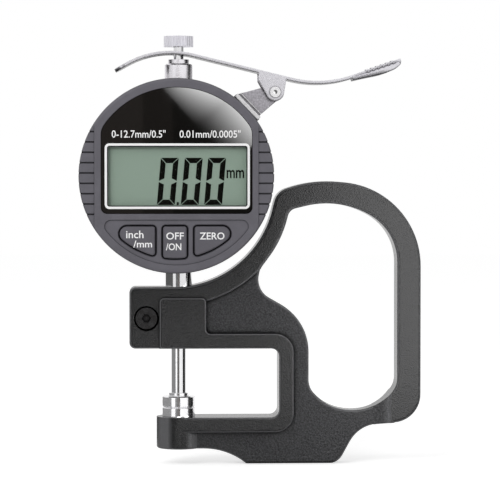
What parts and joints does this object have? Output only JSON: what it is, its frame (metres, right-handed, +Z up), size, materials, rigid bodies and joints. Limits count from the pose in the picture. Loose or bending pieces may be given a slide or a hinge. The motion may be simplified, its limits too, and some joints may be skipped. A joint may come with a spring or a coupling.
{
  "type": "digital thickness gauge",
  "caption": "Digital thickness gauge: round indicator head with display and keys in a cast C-frame with finger ring, flat measuring faces and a lift lever.",
  "frame": {"origin": "near the middle of the flat foot under the frame", "axes": "+Z up along the spindle, -Y the way the display faces, +X from the spindle towards the finger ring"},
  "size_m": [0.103, 0.0194, 0.1289],
  "materials": {
    "frame_paint": "black textured paint on cast metal",
    "polished_steel": "ground and polished hardened steel",
    "screw_steel": "plated screw steel",
    "black_screw": "blackened socket screw",
    "spring_steel": "bright spring wire",
    "lever_chrome": "satin chromed sheet steel",
    "bracket_steel": "matt plated sheet steel",
    "bronze_bush": "turned bronze",
    "case_plastic": "dark grey moulded plastic",
    "cover_plastic": "dark grey moulded plastic, fine texture",
    "key_plastic": "grey moulded keys",
    "lens_black": "glossy black printed lens",
    "window_clear": "clear pane",
    "lcd_glass": "grey-green liquid crystal display",
    "inner_plastic": "black moulded holder",
    "mat_rubber": "grey silicone rubber",
    "board_green": "green solder mask",
    "chip_black": "moulded chip packages",
    "cell_steel": "nickel-plated cell can",
    "carrier_metal": "machined aluminium"
  },
  "bodies": {
    "root": {"frame": "frame_paint", "clamp_screw": "black_screw", "anvil": "polished_steel", "stem": "polished_steel", "stem_bush": "bronze_bush", "top_bush": "polished_steel", "front_case": "case_plastic", "rear_cover": "cover_plastic", "rear_cover_screws": "screw_steel", "window_lens": "lens_black", "window_glass": "window_clear", "lcd_panel": "lcd_glass", "lcd_frame": "inner_plastic", "contact_strips": "mat_rubber", "main_board": "board_green", "board_chips": "chip_black", "board_screws": "screw_steel", "key_mat": "mat_rubber", "battery_cell": "cell_steel", "battery_contacts": "spring_steel", "guide_rod": "polished_steel", "lever_bracket": "bracket_steel", "bracket_screw": "screw_steel", "lever_pin": "lever_chrome"},
    "spindle_train": {"spindle": "polished_steel", "contact_tip": "polished_steel", "lift_knob": "lever_chrome", "stop_collar": "polished_steel", "scale_carrier": "carrier_metal", "scale_strip": "board_green", "carrier_screw": "screw_steel", "return_spring": "spring_steel"},
    "lever": {"lift_lever": "lever_chrome"},
    "key_unit": {"button_unit": "key_plastic"},
    "key_power": {"button_power": "key_plastic"},
    "key_zero": {"button_zero": "key_plastic"},
    "cap": {"battery_cap": "cover_plastic"}
  },
  "joints": [
    {"name": "spindle_slide", "type": "slide", "parent": "root", "child": "spindle_train", "axis": [0, 0, 1], "range_m": [0, 0.0127], "stiffness_N_per_m": 40, "springref_m": -0.03, "deforming": ["return_spring"]},
    {"name": "lever_hinge", "type": "hinge", "parent": "root", "child": "lever", "pos_m": [-0.0038, 0, 0.11205], "axis": [0, 1, 0], "range_deg": [0, 24]},
    {"name": "unit_press", "type": "slide", "parent": "root", "child": "key_unit", "axis": [0, 1, 0], "range_m": [0, 0.0006], "stiffness_N_per_m": 500, "springref_m": -0.001},
    {"name": "power_press", "type": "slide", "parent": "root", "child": "key_power", "axis": [0, 1, 0], "range_m": [0, 0.0006], "stiffness_N_per_m": 500, "springref_m": -0.001},
    {"name": "zero_press", "type": "slide", "parent": "root", "child": "key_zero", "axis": [0, 1, 0], "range_m": [0, 0.0006], "stiffness_N_per_m": 500, "springref_m": -0.001},
    {"name": "cap_turn", "type": "hinge", "parent": "root", "child": "cap", "pos_m": [-0.04858, 0.0085, 0.08435], "axis": [0, 1, 0], "range_deg": [0, 60]}
  ],
  "couplings": [
    {"joint": "lever_hinge", "follows": "spindle_slide", "rad_per_m": 32.7}
  ]
}
